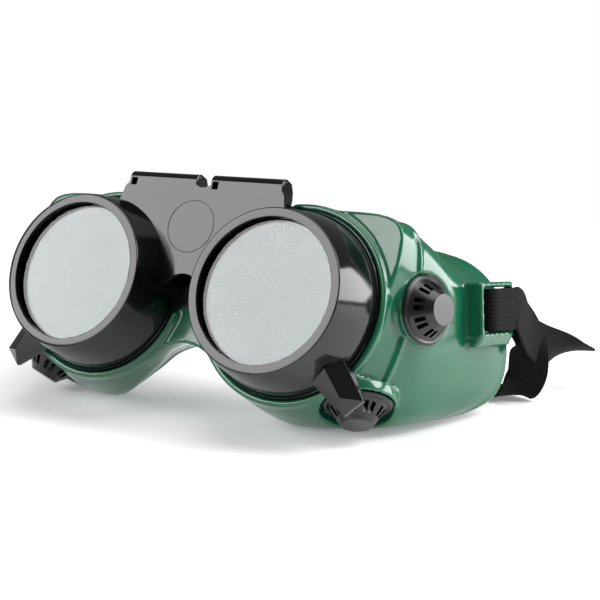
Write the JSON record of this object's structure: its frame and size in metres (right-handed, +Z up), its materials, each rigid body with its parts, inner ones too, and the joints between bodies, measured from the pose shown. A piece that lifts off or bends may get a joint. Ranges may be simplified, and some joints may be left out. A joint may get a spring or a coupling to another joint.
{
  "type": "welding goggles",
  "caption": "Soft green welding goggles with a hinged black front of dark round lenses that flips up over clear lenses, vent caps and an elastic head strap.",
  "frame": {"origin": "centre of the bounding box's base, where the mask's lower edge stands on the bench", "axes": "+X across the face, towards the wearer's left-hand lens seen from the front right; -Y the way the lenses look; +Z up, with the goggles tipped 23 degrees back on their lower edge"},
  "size_m": [0.2172, 0.1692, 0.0807],
  "materials": {
    "green_pvc": "gloss",
    "black_plastic": "gloss",
    "shade_glass": "mirror",
    "clear_glass": "gloss",
    "gasket_rubber": "matte",
    "pin_steel": "satin",
    "black_webbing": "woven"
  },
  "bodies": {
    "mask": {"goggle_body": "green_pvc", "lens_carrier": "black_plastic", "hinge_pin": "pin_steel", "hinge_spring_washer_L": "pin_steel", "hinge_spring_washer_R": "pin_steel", "clear_gasket_L": "gasket_rubber", "clear_gasket_R": "gasket_rubber", "clear_lens_L": "clear_glass", "clear_lens_R": "clear_glass", "clear_ring_L": "black_plastic", "clear_ring_R": "black_plastic", "vent_cap_side_L": "black_plastic", "vent_cap_side_R": "black_plastic", "vent_cap_bottom_L": "black_plastic", "vent_cap_bottom_R": "black_plastic", "head_strap": "black_webbing"},
    "flip_front": {"flip_frame": "black_plastic", "cover_lens_L": "clear_glass", "cover_lens_R": "clear_glass", "shade_lens_L": "shade_glass", "shade_lens_R": "shade_glass", "cup_gasket_L": "gasket_rubber", "cup_gasket_R": "gasket_rubber", "cup_ring_L": "black_plastic", "cup_ring_R": "black_plastic"}
  },
  "joints": [
    {"name": "flip_hinge", "type": "hinge", "parent": "mask", "child": "flip_front", "pos_m": [0, -0.0464, 0.07525], "axis": [-1, 0, 0], "range_deg": [0, 100]}
  ]
}
